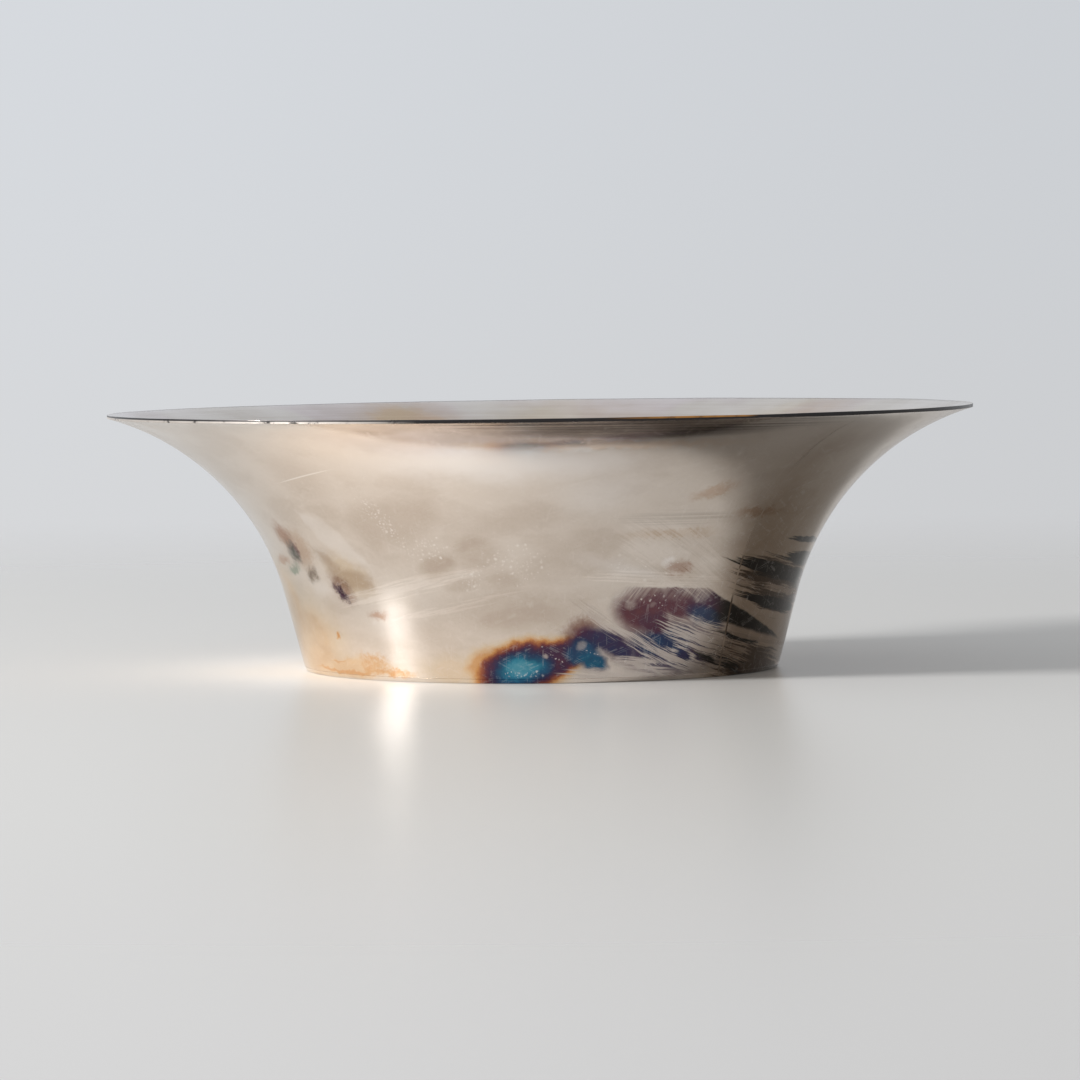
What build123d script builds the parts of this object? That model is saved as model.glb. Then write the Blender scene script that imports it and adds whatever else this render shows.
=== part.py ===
"""Offering bowl: a flared dish of thin silver sheet, made in four pieces.

A strip of sheet is bent round, closed by one upright soldered seam and drawn out to a wide lip.
It stands on a round base disc, and a bead of solder inside the foot holds the two together.
Millimetres and degrees. The origin is the centre of the foot, on the surface that it stands on, +Z up.
"""

import os
from math import cos, radians, sin, tan

from build123d import *

os.makedirs("parts", exist_ok=True)

# Overall sizes
RIM_DIAMETER = 115.0
FOOT_DIAMETER = 63.0
BOWL_HEIGHT = 34.5

# Shape of the wall, whose flare is measured from the upright
FOOT_FLARE = 14.7
STRAIGHT_WALL = 10.4

# Sheet thicknesses
WALL_SHEET = 0.45
BASE_SHEET = 0.6

# Base disc: it rests on a flat ring, and the middle is planished up clear of the table
BEARING_RING = 7.0
BASE_RISE = 0.4
FOOT_ROUND = 0.35

# Solder: the upright seam of the wall, and the bead inside the foot
SEAM_WIDTH = 0.3
SEAM_TURN = -44.0
BEAD_LEG = 0.8

# Rim edge: each corner is rounded by this share of the sheet, which leaves a narrow flat between them
RIM_ROUND_SHARE = 0.4

# Places worked out from the sizes above
rim_radius = RIM_DIAMETER / 2
foot_radius = FOOT_DIAMETER / 2
flare = radians(FOOT_FLARE)
wall_foot_radius = foot_radius + BASE_SHEET * tan(flare)
inner_foot_radius = wall_foot_radius - WALL_SHEET / cos(flare)
ring_inner_radius = foot_radius - BEARING_RING
rim_round = RIM_ROUND_SHARE * WALL_SHEET

# Upright slab, as thick as the seam is wide, that reaches from the axis out past the rim
seam_slab = Location((0, 0, 0), (0, 0, SEAM_TURN))
slab_size = (RIM_DIAMETER, SEAM_WIDTH, 2 * BOWL_HEIGHT)
slab_align = (Align.MIN, Align.CENTER, Align.CENTER)

# Section of the wall: the inside face runs straight up from the foot, then bends out to the lip in one arc
with BuildSketch(Plane.XZ) as wall_section:
    with BuildLine():
        inside_start = (foot_radius - WALL_SHEET * cos(flare), WALL_SHEET * sin(flare))
        straight = PolarLine(inside_start, STRAIGHT_WALL, 90 - FOOT_FLARE)
        TangentArc(straight @ 1, (rim_radius, BOWL_HEIGHT), tangent=straight % 1)
        offset(amount=WALL_SHEET, side=Side.RIGHT)
    make_face()
    with Locations((0, BASE_SHEET)):
        Rectangle(rim_radius, BOWL_HEIGHT, align=(Align.MIN, Align.MIN), mode=Mode.INTERSECT)
    fillet(wall_section.vertices().sort_by(Axis.X)[-2:], rim_round)

# Wall: the full round less the gap between the two ends of the sheet
with BuildPart() as flared_wall:
    revolve(wall_section.sketch, axis=Axis.Z)
    with Locations(seam_slab):
        Box(*slab_size, align=slab_align, mode=Mode.SUBTRACT)

# Wall seam: the solder that fills that gap, filed flush with the sheet inside and out
with BuildPart() as wall_seam:
    revolve(wall_section.sketch, axis=Axis.Z)
    with Locations(seam_slab):
        Box(*slab_size, align=slab_align, mode=Mode.INTERSECT)

# Base disc: under the wall, with its edge filed to the slope of the wall and rounded where it meets the table
with BuildPart() as base_disc:
    with BuildSketch(Plane.XZ) as disc_section:
        with BuildLine():
            underside = TangentArc((0, BASE_RISE), (ring_inner_radius, 0), tangent=(1, 0))
            edge = Polyline(
                underside @ 1,
                (foot_radius, 0),
                (wall_foot_radius, BASE_SHEET),
                (ring_inner_radius, BASE_SHEET),
            )
            floor = TangentArc((0, BASE_RISE + BASE_SHEET), edge @ 1, tangent=(1, 0))
            Line(floor @ 0, underside @ 0)
        make_face()
        fillet(disc_section.vertices().sort_by_distance((foot_radius, 0, 0))[0], FOOT_ROUND)
    revolve(axis=Axis.Z)

# Base bead: a ring of solder in the corner between the disc and the inside of the wall, with a sloping face
with BuildPart() as base_bead:
    with BuildSketch(Plane.XZ):
        with BuildLine():
            corner = (inner_foot_radius, BASE_SHEET)
            on_disc = (inner_foot_radius - BEAD_LEG, BASE_SHEET)
            on_wall = (inner_foot_radius + BEAD_LEG * sin(flare), BASE_SHEET + BEAD_LEG * cos(flare))
            Polyline(on_disc, on_wall, corner, close=True)
        make_face()
    revolve(axis=Axis.Z)

pieces = {
    "flared_wall": flared_wall,
    "wall_seam_solder": wall_seam,
    "base_disc": base_disc,
    "base_seam_solder": base_bead,
}
for name, piece in pieces.items():
    piece.part.label = name
    export_step(piece.part, f"parts/{name}.step")
    print(f"{name}: {piece.part.volume:.1f} mm3")
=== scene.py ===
"""Worn silver offering bowl: its tarnished finish, on a pale table, in metres.

The wall, its upright seam, the base disc and the bead of solder inside the foot are turned ring by ring
over the solids that they stand for. The colours of the tarnish come from one film: its thickness is built
up from stains and wiped away in swipes, and a ramp turns it into straw, amber, purple, blue and teal.
"""

from math import acos, asin, atan2, cos, pi, radians, sin, sqrt, tan

import bpy
from mathutils import Matrix, Vector


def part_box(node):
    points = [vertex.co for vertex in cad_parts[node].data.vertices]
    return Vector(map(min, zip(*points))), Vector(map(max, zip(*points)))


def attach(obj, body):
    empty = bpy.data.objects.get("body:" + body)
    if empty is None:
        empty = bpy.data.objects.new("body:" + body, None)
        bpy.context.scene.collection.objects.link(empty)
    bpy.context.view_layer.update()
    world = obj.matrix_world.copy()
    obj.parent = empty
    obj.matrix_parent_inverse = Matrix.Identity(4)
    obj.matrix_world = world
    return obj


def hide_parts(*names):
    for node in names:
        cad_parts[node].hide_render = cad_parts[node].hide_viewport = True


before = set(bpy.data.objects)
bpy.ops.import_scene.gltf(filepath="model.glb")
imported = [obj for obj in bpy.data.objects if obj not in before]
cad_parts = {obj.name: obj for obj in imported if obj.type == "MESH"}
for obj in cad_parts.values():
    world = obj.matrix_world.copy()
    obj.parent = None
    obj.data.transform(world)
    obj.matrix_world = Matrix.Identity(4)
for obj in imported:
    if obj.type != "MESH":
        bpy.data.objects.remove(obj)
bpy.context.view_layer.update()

MM = 0.001

# Sizes of the sheet, as the solids have them
RIM_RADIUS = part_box("flared_wall")[1][1]
WALL_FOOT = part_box("flared_wall")[0][2]
BOWL_HEIGHT = 34.5 * MM
FOOT_RADIUS = 31.5 * MM
FOOT_FLARE = radians(14.7)
STRAIGHT_WALL = 10.4 * MM
WALL_SHEET = 0.45 * MM
BASE_RISE = 0.4 * MM
BEARING_RING = 7.0 * MM
FOOT_ROUND = 0.3 * MM
BEAD_LEG = 0.8 * MM
SEAM_WIDTH = 0.3 * MM
SEAM_AZIMUTH = radians(46.0)

# Steps and small edges of the turned meshes
SEGMENTS = 192
STRAIGHT_STEPS = 12
ARC_STEPS = 44
ROUND_STEPS = 4
DISC_STEPS = 16
RIM_ROUND = 0.05 * MM
JOINT_CHAMFER = 0.02 * MM
POLE_RADIUS = 0.4 * MM
BEAD_HOLLOW = 0.5 * BEAD_LEG
SMOOTH_ANGLE = radians(35)

# How near to the reach of the rim a face lies that belongs to its cut edge
EDGE_DEPTH = 0.03 * MM

# Unevenness of a hand-made bowl: the rim stands a little higher on the right, and the sheet has slight waves
RIM_TILT = radians(0.3)
SHEET_WAVES = 0.05 * MM
WAVE_LENGTH = 16 * MM
TRUE_FOOT = 12 * MM

# Camera, found from the outline of the bowl in the photograph
CAMERA_PLACE = Vector((-0.13, -728.6, 50.6)) * MM
CAMERA_PITCH = radians(2.646)
CAMERA_ROLL = radians(0.498)
CAMERA_LENS = 182.4


class Shader:
    """The nodes of one material. node() adds any node; maths on the wires that it returns adds Math nodes."""

    def __init__(self, tree):
        self.tree = tree
        tree.nodes.clear()

    def node(self, kind, settings=None, inputs=None, output=0):
        family = "Node" if kind in ("GroupInput", "GroupOutput") else "ShaderNode"
        made = self.tree.nodes.new(family + kind)
        for name, value in (settings or {}).items():
            if name == "stops":
                self.set_stops(made.color_ramp, value)
            else:
                setattr(made, name, value)
        for name, value in (inputs or {}).items():
            if isinstance(value, Wire):
                self.tree.links.new(value.socket, made.inputs[name])
            else:
                made.inputs[name].default_value = value
        return Wire(self, made.outputs[output]) if made.outputs else None

    def vectors(self, operation, *values, output="Vector"):
        """Maths on places and colours."""
        return self.node("VectorMath", {"operation": operation}, dict(enumerate(values)), output)

    def set_stops(self, ramp, stops):
        while len(ramp.elements) < len(stops):
            ramp.elements.new(1.0)
        for element, (position, colour) in zip(ramp.elements, stops):
            element.position = position
            element.color = (*colour, 1.0)


class Wire:
    """One output of a shader node."""

    def __init__(self, shader, socket):
        self.shader = shader
        self.socket = socket

    def pick(self, output):
        """Another output of the same node."""
        return Wire(self.shader, self.socket.node.outputs[output])

    def maths(self, operation, *values, clamp=False):
        settings = {"operation": operation, "use_clamp": clamp}
        return self.shader.node("Math", settings, dict(enumerate(values)))

    def __add__(self, other):
        return self.maths("ADD", self, other)

    def __radd__(self, other):
        return self.maths("ADD", other, self)

    def __sub__(self, other):
        return self.maths("SUBTRACT", self, other)

    def __rsub__(self, other):
        return self.maths("SUBTRACT", other, self)

    def __mul__(self, other):
        return self.maths("MULTIPLY", self, other)

    def __rmul__(self, other):
        return self.maths("MULTIPLY", other, self)

    def __truediv__(self, other):
        return self.maths("DIVIDE", self, other)

    def __neg__(self):
        return self.maths("MULTIPLY", self, -1.0)

    def __abs__(self):
        return self.maths("ABSOLUTE", self)

    def exp(self):
        return self.maths("EXPONENT", self)

    def sqrt(self):
        return self.maths("SQRT", self)

    def most(self, other):
        return self.maths("MAXIMUM", self, other)

    def least(self, other):
        return self.maths("MINIMUM", self, other)

    def clamp(self):
        return self.maths("ADD", self, 0.0, clamp=True)

    def step(self, low, high):
        """0 up to low, 1 from high on and a smooth rise between; with low above high it falls instead."""
        ends = {"From Min": min(low, high), "From Max": max(low, high)}
        if low > high:
            ends.update({"To Min": 1.0, "To Max": 0.0})
        return self.shader.node("MapRange", {"interpolation_type": "SMOOTHSTEP"}, {"Value": self, **ends})


def new_shader(name):
    material = bpy.data.materials.new(name)
    material.use_nodes = True
    return material, Shader(material.node_tree)


def new_group(name, **inputs):
    """A group of nodes that gives one number: its shader, and the wires from inputs of the given kinds."""
    tree = bpy.data.node_groups.new(name, "ShaderNodeTree")
    for socket, kind in inputs.items():
        tree.interface.new_socket(socket, in_out="INPUT", socket_type="NodeSocket" + kind)
    tree.interface.new_socket("result", in_out="OUTPUT", socket_type="NodeSocketFloat")
    shader = Shader(tree)
    entry = shader.node("GroupInput")
    return shader, [entry.pick(socket) for socket in inputs]


# Shapes

def sheet_arc():
    """Centre and radius of the arc that the inside of the wall bends out along."""
    start_r = FOOT_RADIUS - WALL_SHEET * cos(FOOT_FLARE)
    start_z = WALL_SHEET * sin(FOOT_FLARE)
    join_r = start_r + STRAIGHT_WALL * sin(FOOT_FLARE)
    join_z = start_z + STRAIGHT_WALL * cos(FOOT_FLARE)
    across, up = RIM_RADIUS - join_r, BOWL_HEIGHT - join_z
    turn = 2 * (atan2(across, up) - FOOT_FLARE)
    radius = sqrt(across * across + up * up) / (2 * sin(turn / 2))
    return join_r + radius * cos(FOOT_FLARE), join_z - radius * sin(FOOT_FLARE), radius


def side_of_sheet(inset):
    """Section of one face of the wall, from the foot to just short of the rim; inset 0 is the outside."""
    centre_r, centre_z, inner = sheet_arc()
    radius = inner - WALL_SHEET + inset
    join_r = centre_r - radius * cos(FOOT_FLARE)
    join_z = centre_z + radius * sin(FOOT_FLARE)
    foot_r = join_r - (join_z - WALL_FOOT) * tan(FOOT_FLARE)
    points = []
    for step in range(STRAIGHT_STEPS):
        share = step / STRAIGHT_STEPS
        points.append((foot_r + share * (join_r - foot_r), WALL_FOOT + share * (join_z - WALL_FOOT)))
    end = acos((centre_r - RIM_RADIUS + RIM_ROUND) / radius)
    for step in range(ARC_STEPS + 1):
        angle = FOOT_FLARE + (end - FOOT_FLARE) * step / ARC_STEPS
        points.append((centre_r - radius * cos(angle), centre_z + radius * sin(angle)))
    return points


def rim_edge(outside_end, inside_end):
    """The cut edge of the sheet: upright, with its two corners rounded."""
    low, high = outside_end[1] + RIM_ROUND, inside_end[1] - RIM_ROUND
    points = []
    for step in range(1, ROUND_STEPS + 1):
        angle = radians(90) * step / ROUND_STEPS
        points.append((RIM_RADIUS - RIM_ROUND * (1 - sin(angle)), low - RIM_ROUND * cos(angle)))
    for step in range(ROUND_STEPS):
        angle = radians(90) * step / ROUND_STEPS
        points.append((RIM_RADIUS - RIM_ROUND * (1 - cos(angle)), high + RIM_ROUND * sin(angle)))
    return points


def wall_section():
    """Up the outside from a small chamfer at the foot, over the rim and down the inside."""
    (foot_r, foot_z), *outside = side_of_sheet(0.0)
    chamfer_top = (foot_r + JOINT_CHAMFER * tan(FOOT_FLARE), foot_z + JOINT_CHAMFER)
    inside = side_of_sheet(WALL_SHEET)[::-1]
    foot = [(foot_r - JOINT_CHAMFER, foot_z), chamfer_top]
    return foot + outside + rim_edge(outside[-1], inside[0]) + inside


def disc_section():
    """Underside from the middle out, round the edge of the foot and over the floor back to the middle."""
    ring = FOOT_RADIUS - BEARING_RING
    wall_r = FOOT_RADIUS + WALL_FOOT * tan(FOOT_FLARE)
    dished = []
    for step in range(DISC_STEPS + 1):
        radius = POLE_RADIUS + (ring - POLE_RADIUS) * step / DISC_STEPS
        dished.append((radius, BASE_RISE * (1 - (radius / ring) ** 2)))
    points = dished + [(FOOT_RADIUS - FOOT_ROUND, 0.0)]
    for step in range(1, ROUND_STEPS + 1):
        angle = radians(90) * step / ROUND_STEPS
        points.append((FOOT_RADIUS - FOOT_ROUND * (1 - sin(angle)), FOOT_ROUND * (1 - cos(angle))))
    points.append((wall_r - JOINT_CHAMFER * tan(FOOT_FLARE), WALL_FOOT - JOINT_CHAMFER))
    points.append((wall_r - JOINT_CHAMFER, WALL_FOOT))
    return points + [(radius, height + WALL_FOOT) for radius, height in reversed(dished)]


def bead_section():
    """Solder in the corner inside the foot, with a hollow face where it ran up the wall."""
    corner_r = FOOT_RADIUS + WALL_FOOT * tan(FOOT_FLARE) - WALL_SHEET / cos(FOOT_FLARE)
    top = (corner_r + BEAD_LEG * sin(FOOT_FLARE), WALL_FOOT + BEAD_LEG * cos(FOOT_FLARE))
    points = [(corner_r, WALL_FOOT), top]
    for step in range(1, ROUND_STEPS + 1):
        share = step / ROUND_STEPS
        sag = BEAD_HOLLOW * share * (1 - share)
        radius = top[0] + share * (corner_r - BEAD_LEG - top[0]) + sag
        points.append((radius, top[1] + share * (WALL_FOOT - top[1]) - sag))
    return points


def only(piece):
    """Selects one piece alone."""
    bpy.ops.object.select_all(action="DESELECT")
    piece.select_set(True)
    bpy.context.view_layer.objects.active = piece


def turn_rings(name, section, turn=0.0):
    """A ring of edges at the first point of a section, drawn out through the rest of its points."""
    bpy.ops.object.select_all(action="DESELECT")
    (radius, height), *rest = section
    bpy.ops.mesh.primitive_circle_add(
        vertices=SEGMENTS, radius=radius, fill_type="NOTHING", location=(0, 0, height), rotation=(0, 0, turn)
    )
    piece = bpy.context.object
    piece.name = piece.data.name = name
    bpy.ops.object.transform_apply(location=True, rotation=True, scale=True)
    bpy.ops.object.mode_set(mode="EDIT")
    bpy.ops.mesh.select_all(action="SELECT")
    for next_radius, next_height in rest:
        bpy.ops.mesh.extrude_edges_move(TRANSFORM_OT_translate={"value": (0, 0, next_height - height)})
        scale = next_radius / radius
        bpy.ops.transform.resize(value=(scale, scale, 1), center_override=(0, 0, next_height))
        radius, height = next_radius, next_height
    bpy.ops.object.mode_set(mode="OBJECT")
    return piece


def bridge_ends(piece):
    """Joins the last ring to the first, which closes a hollow ring."""
    only(piece)
    bpy.ops.object.mode_set(mode="EDIT")
    bpy.ops.mesh.select_mode(type="EDGE")
    bpy.ops.mesh.select_all(action="DESELECT")
    bpy.ops.mesh.select_non_manifold(
        use_wire=False, use_multi_face=False, use_non_contiguous=False, use_verts=False
    )
    bpy.ops.mesh.bridge_edge_loops()
    bpy.ops.object.mode_set(mode="OBJECT")


def select_points(piece, test):
    """Selects, for edit mode, the points of a piece whose place passes a test."""
    bpy.ops.object.mode_set(mode="EDIT")
    bpy.ops.mesh.select_mode(type="VERT")
    bpy.ops.mesh.select_all(action="DESELECT")
    bpy.ops.object.mode_set(mode="OBJECT")
    for vertex in piece.data.vertices:
        vertex.select = test(vertex.co)
    bpy.ops.object.mode_set(mode="EDIT")


def merge_poles(piece):
    """Draws the small rings at the middle of a disc, above and below, in to a point."""
    only(piece)
    middle = BASE_RISE + WALL_FOOT / 2
    for above in (True, False):
        select_points(piece, lambda at: at.xy.length < 1.5 * POLE_RADIUS and (at.z > middle) == above)
        bpy.ops.mesh.merge(type="CENTER")
        bpy.ops.object.mode_set(mode="OBJECT")


def close_and_face_out(piece):
    """Fills the open ends of a piece, turns its faces outwards and shades it smooth."""
    only(piece)
    bpy.ops.object.mode_set(mode="EDIT")
    bpy.ops.mesh.select_all(action="SELECT")
    bpy.ops.mesh.fill_holes(sides=0)
    bpy.ops.mesh.select_all(action="SELECT")
    bpy.ops.mesh.normals_make_consistent(inside=False)
    bpy.ops.object.mode_set(mode="OBJECT")
    bpy.ops.object.shade_smooth_by_angle(angle=SMOOTH_ANGLE)


def azimuth(place):
    """Angle of a place round the bowl: 0 at the front, growing to the right."""
    return atan2(place.x, -place.y)


def narrow_seam(wall, half_step):
    """Draws the two columns of points beside the seam in, until they stand as far apart as it is wide."""
    for vertex in wall.data.vertices:
        off = azimuth(vertex.co) - SEAM_AZIMUTH
        if abs(abs(off) - half_step) < half_step / 2:
            radius = vertex.co.xy.length
            angle = SEAM_AZIMUTH + asin(SEAM_WIDTH / 2 / radius) * (1 if off > 0 else -1)
            vertex.co.xy = radius * sin(angle), -radius * cos(angle)


def make_wall():
    """The flared wall and, cut out of it, the strip of solder that closes it."""
    half_step = pi / SEGMENTS
    wall = turn_rings("silver_wall", wall_section(), (SEAM_AZIMUTH - half_step) % (2 * half_step))
    bridge_ends(wall)
    narrow_seam(wall, half_step)
    reach = half_step / 2
    select_points(wall, lambda at: abs(azimuth(at) - SEAM_AZIMUTH) < reach)
    bpy.ops.mesh.separate(type="SELECTED")
    bpy.ops.object.mode_set(mode="OBJECT")
    seam = next(piece for piece in bpy.context.selected_objects if piece is not wall)
    seam.name = seam.data.name = "solder_wall_seam"
    for piece in (wall, seam):
        close_and_face_out(piece)
    return wall, seam


def make_base():
    disc = turn_rings("silver_base", disc_section())
    merge_poles(disc)
    close_and_face_out(disc)
    bead = turn_rings("solder_base_bead", bead_section())
    bridge_ends(bead)
    close_and_face_out(bead)
    return disc, bead


def tilt_rim(pieces):
    """A cage round the bowl, whose top leans a little, carries the rim with it."""
    cage_data = bpy.data.lattices.new("rim_cage")
    for axis in "uvw":
        setattr(cage_data, "interpolation_type_" + axis, "KEY_LINEAR")
    cage = bpy.data.objects.new("rim_cage", cage_data)
    bpy.context.scene.collection.objects.link(cage)
    cage.location = (0, 0, BOWL_HEIGHT / 2)
    cage.scale = (2 * RIM_RADIUS, 2 * RIM_RADIUS, BOWL_HEIGHT)
    for point in cage_data.points:
        if point.co.z > 0:
            point.co_deform.z += tan(RIM_TILT) * point.co.x * 2 * RIM_RADIUS / BOWL_HEIGHT
    for piece in pieces:
        only(piece)
        lean = piece.modifiers.new("lean", "LATTICE")
        lean.object = cage
        bpy.ops.object.modifier_apply(modifier=lean.name)
    bpy.data.objects.remove(cage)


def wave_sheet(pieces):
    """Slight waves in the sheet, from the hammer, that die away towards the foot."""
    texture = bpy.data.textures.new("sheet_waves", "CLOUDS")
    texture.noise_scale = WAVE_LENGTH
    texture.noise_depth = 1
    for piece in pieces:
        only(piece)
        group = piece.vertex_groups.new(name="free_of_foot")
        for vertex in piece.data.vertices:
            group.add([vertex.index], min(1.0, max(0.0, vertex.co.z - WALL_FOOT) / TRUE_FOOT), "REPLACE")
        waves = piece.modifiers.new("waves", "DISPLACE")
        waves.texture = texture
        waves.texture_coords = "LOCAL"
        waves.strength = 2 * SHEET_WAVES
        waves.vertex_group = group.name
        bpy.ops.object.modifier_apply(modifier=waves.name)
        piece.vertex_groups.clear()


# Finishes

# Radius at which places round the wall are measured, middle of the cut edge of the rim and its soft line,
# and height of the fine marks, in millimetres
ROUND_RADIUS = 33.0
EDGE_MIDDLE = 34.27
EDGE_LINE = 0.05
MARK_HEIGHT = 0.02

# How softly one film melts into another, a start for finding the nearest spot, the shift of each noise,
# and how far the polish draws out a highlight
FILM_MELT = 0.06
FAR_OUTSIDE = -9.0
NOISE_SHIFT = (13.7, 7.1, 3.3)
ANISOTROPY = 0.3

# Silver and what tarnish and cloth make of it
PALE_SILVER = (0.90, 0.865, 0.84)
BRIGHT_SILVER = (0.76, 0.69, 0.625)
DULL_SILVER = (0.55, 0.46, 0.385)
WIPED = (0.86, 0.85, 0.86)
RUBBED_UP = (1.22, 1.24, 1.27)
SPECK_SILVER = (0.92, 0.88, 0.84)
# Brown haze on the right, which is also painted shade there
HAZE_AND_SHADE = (0.56, 0.48, 0.40)
SOOT = (0.075, 0.08, 0.085)
BROWN_SOOT = (0.22, 0.19, 0.165)
INNER_BRIGHT = (0.76, 0.71, 0.665)
INNER_DULL = (0.62, 0.56, 0.50)
INNER_LILAC = (0.965, 0.93, 0.98)
BASE_BRIGHT = (0.74, 0.69, 0.64)
BASE_DULL = (0.58, 0.51, 0.445)
EDGE_BLACK = (0.04, 0.037, 0.037)
EDGE_AMBER = (0.52, 0.24, 0.07)
GREY_SOLDER = (0.50, 0.46, 0.41)
YELLOW_SOLDER = (0.40, 0.33, 0.24)

# What a film of tarnish does to the silver under it, from none to the thickest:
# straw, amber, red-brown, purple, indigo, blue, teal
FILM_TINTS = [
    (0.00, (1.0, 1.0, 1.0)),
    (0.10, (0.98, 0.93, 0.84)),
    (0.20, (0.98, 0.80, 0.58)),
    (0.29, (0.86, 0.50, 0.22)),
    (0.37, (0.50, 0.20, 0.12)),
    (0.46, (0.22, 0.085, 0.11)),
    (0.54, (0.11, 0.065, 0.14)),
    (0.64, (0.06, 0.085, 0.20)),
    (0.78, (0.045, 0.19, 0.38)),
    (0.90, (0.07, 0.40, 0.65)),
    (1.00, (0.14, 0.52, 0.76)),
]

# Spots on the wall: place round it from the front (right is positive), height, half width and half height
# in millimetres, and lean in degrees. A stain adds how thick its film is and how steeply it gets there.
STAINS = [
    ((-2.7, 1.9, 8.2, 4.4, 13), 1.0, 1.2),
    ((-7.6, 2.7, 4.2, 2.6, 25), 0.27, 1.7),
    ((1.4, 3.2, 5.4, 3.6, 10), 0.53, 2.2),
    ((-12.0, 1.8, 6.5, 2.8, 0), 0.12, 1.6),
    ((-39.0, 4.6, 12.0, 9.0, 0), 0.17, 1.7),
    ((-47.0, 8.0, 11.0, 10.0, 0), 0.19, 2.4),
    ((-29.0, 1.6, 10.0, 1.9, 0), 0.17, 1.8),
    ((-31.0, 1.0, 15.0, 0.45, 0), 0.25, 1.6),
    ((-32.0, 2.4, 5.6, 0.25, 3), 0.24, 1.2),
    ((-30.9, 5.5, 0.9, 0.5, 45), 0.28, 1.4),
    ((-63.0, 3.6, 17.0, 4.0, 6), 0.26, 1.2),
    ((-80.0, 13.0, 9.0, 5.0, -30), 0.16, 1.5),
    ((-88.0, 1.0, 17.0, 3.4, 4), 0.36, 1.1),
    ((72.0, 0.8, 17.0, 3.2, 5), 0.42, 1.1),
    ((84.0, 9.0, 10.0, 5.0, 25), 0.22, 1.5),
    ((90.0, 24.0, 8.0, 4.0, -20), 0.13, 1.6),
]

# Old stains laid one over another, each with the thickness of its film
PATCHES = [
    ((5.6, 5.3, 3.8, 2.9, 10), 0.48),
    ((9.4, 4.9, 6.0, 2.4, -26), 0.585),
    ((5.2, 3.8, 3.6, 2.5, -20), 0.70),
    ((6.8, 2.6, 2.6, 1.8, -20), 0.79),
    ((17.5, 4.2, 11.0, 4.8, -4), 0.60),
    ((16.0, 5.2, 5.0, 2.6, -14), 0.66),
]
CUT_PATCHES = [
    ((13.2, 9.6, 5.4, 4.1, 0), 0.483),
    ((18.6, 10.2, 5.4, 3.2, -8), 0.49),
    ((14.8, 7.6, 3.2, 1.7, -10), 0.515),
    ((23.0, 9.4, 5.0, 2.8, -16), 0.53),
    ((22.8, 7.8, 4.4, 1.8, -20), 0.66),
]
# Where they are rubbed thin, with how thin
THINNED = [
    ((11.0, 12.4, 5.5, 2.8, 0), 0.75),
    ((17.0, 11.2, 5.0, 1.6, -4), 0.2),
    ((19.8, 11.4, 4.0, 1.6, -10), 0.55),
]
AMBER_BLOTS = [
    ((-24.4, 2.6, 3.8, 1.3, -8), 0.24),
    ((-25.6, 1.8, 1.7, 1.9, 0), 0.24),
    ((-21.6, 1.2, 5.4, 0.75, -3), 0.26),
]
# Edges along which a cloth cut the dark stains off, from left to right: level, and along its sweep.
# Both are a little soft
LEVEL_CUT = ((9.5, 12.6), (21.2, 12.05))
SWEPT_CUT = ((21.0, 5.6), (40.0, 2.2))
CUT_SOFT = 0.3

# Faint marks, each with what it does to the silver
MARKS = [
    ((-36.2, 18.6, 2.8, 2.4, -4), (0.58, 0.40, 0.31)),
    ((-33.4, 17.0, 3.4, 4.0, 0), (0.80, 0.69, 0.60)),
    ((-35.6, 16.4, 1.9, 2.1, -20), (0.16, 0.18, 0.17)),
    ((-34.6, 16.9, 0.9, 1.3, 0), (0.60, 0.44, 0.50)),
    ((-37.6, 14.1, 2.8, 1.1, 12), (0.46, 0.58, 0.52)),
    ((-40.6, 15.2, 3.6, 0.9, 4), (0.76, 0.58, 0.47)),
    ((-33.0, 13.6, 2.0, 1.4, 20), (0.38, 0.34, 0.30)),
    ((-25.6, 13.6, 6.0, 3.6, -30), (0.93, 0.86, 0.74)),
    ((-27.6, 11.9, 3.4, 2.0, -42), (0.56, 0.44, 0.40)),
    ((-27.9, 11.3, 2.4, 0.8, -45), (0.16, 0.11, 0.22)),
    ((-22.2, 8.6, 2.2, 0.9, 0), (0.76, 0.60, 0.52)),
    ((5.0, 7.3, 3.8, 2.0, 18), (0.50, 0.38, 0.34)),
    ((18.2, 24.6, 3.8, 1.2, 18), (0.86, 0.75, 0.67)),
    ((17.0, 14.6, 2.6, 1.3, 0), (0.60, 0.42, 0.35)),
    ((15.0, 19.2, 8.0, 1.0, 0), (0.88, 0.80, 0.72)),
    ((26.0, 21.6, 5.0, 0.9, 0), (0.80, 0.68, 0.58)),
    # The last two marks, under the lip, are painted reflection: a warmer band, and a darker one that is
    # painted shade.
    ((5.0, 31.0, 17.0, 0.9, 0), (1.0, 0.88, 0.77)),
    ((9.0, 34.0, 18.0, 2.2, 0), (0.62, 0.58, 0.56)),
]

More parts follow.
